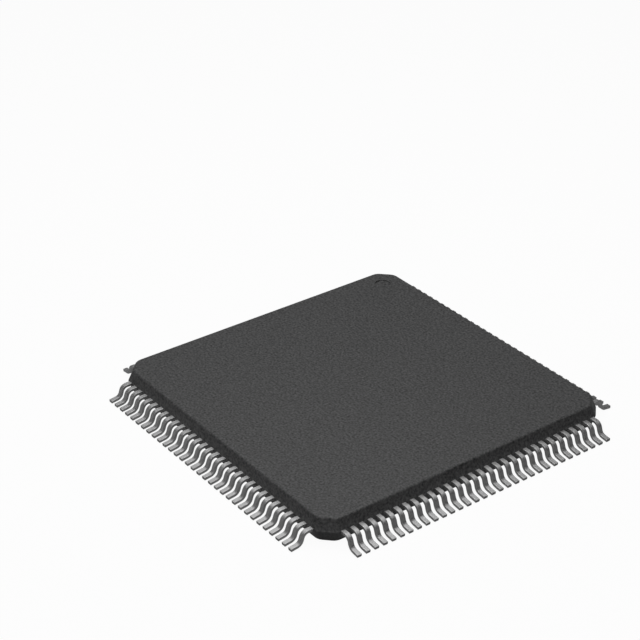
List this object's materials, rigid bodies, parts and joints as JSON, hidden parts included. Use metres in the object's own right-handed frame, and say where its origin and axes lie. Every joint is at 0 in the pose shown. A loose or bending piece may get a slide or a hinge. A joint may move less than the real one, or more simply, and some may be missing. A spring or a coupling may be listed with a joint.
{
  "type": "integrated circuit",
  "caption": "Thin square moulded chip package with gull-wing leads on all four sides, and a square thermal pad and round heat-spreader feet exposed in its underside.",
  "frame": {"origin": "centre of the package on the seating plane, where the toes of the leads touch the circuit board", "axes": "+Z away from the board, out of the moulded top face; pin 1 and the dimple that marks it are at the corner of -X and +Y, and the pins count anticlockwise from there as seen from above"},
  "size_m": [0.016, 0.016, 0.0011],
  "materials": {
    "mould_compound": "fine matt dark grey moulded epoxy",
    "lead_plating": "matt tin plate over copper alloy",
    "spreader_plating": "pale sparkling matt plate over copper",
    "lead_frame_copper": "bare rolled copper alloy",
    "die_adhesive": "silver-filled epoxy",
    "silicon": "polished silicon",
    "polyimide_film": "amber polyimide film",
    "gold_wire": "bright gold"
  },
  "bodies": {
    "root": {"moulded_body": "mould_compound", "heat_spreader": "spreader_plating", "die_paddle": "lead_frame_copper", "die_attach": "die_adhesive", "silicon_die": "silicon", "lead_lock_tape": "polyimide_film", "east_bond_wires": "gold_wire", "north_bond_wires": "gold_wire", "west_bond_wires": "gold_wire", "south_bond_wires": "gold_wire", "east_leads_1": "lead_plating", "east_leads_2": "lead_plating", "east_leads_3": "lead_plating", "east_leads_4": "lead_plating", "north_leads_1": "lead_plating", "north_leads_2": "lead_plating", "north_leads_3": "lead_plating", "north_leads_4": "lead_plating", "west_leads_1": "lead_plating", "west_leads_2": "lead_plating", "west_leads_3": "lead_plating", "west_leads_4": "lead_plating", "south_leads_1": "lead_plating", "south_leads_2": "lead_plating", "south_leads_3": "lead_plating", "south_leads_4": "lead_plating"}
  },
  "joints": []
}
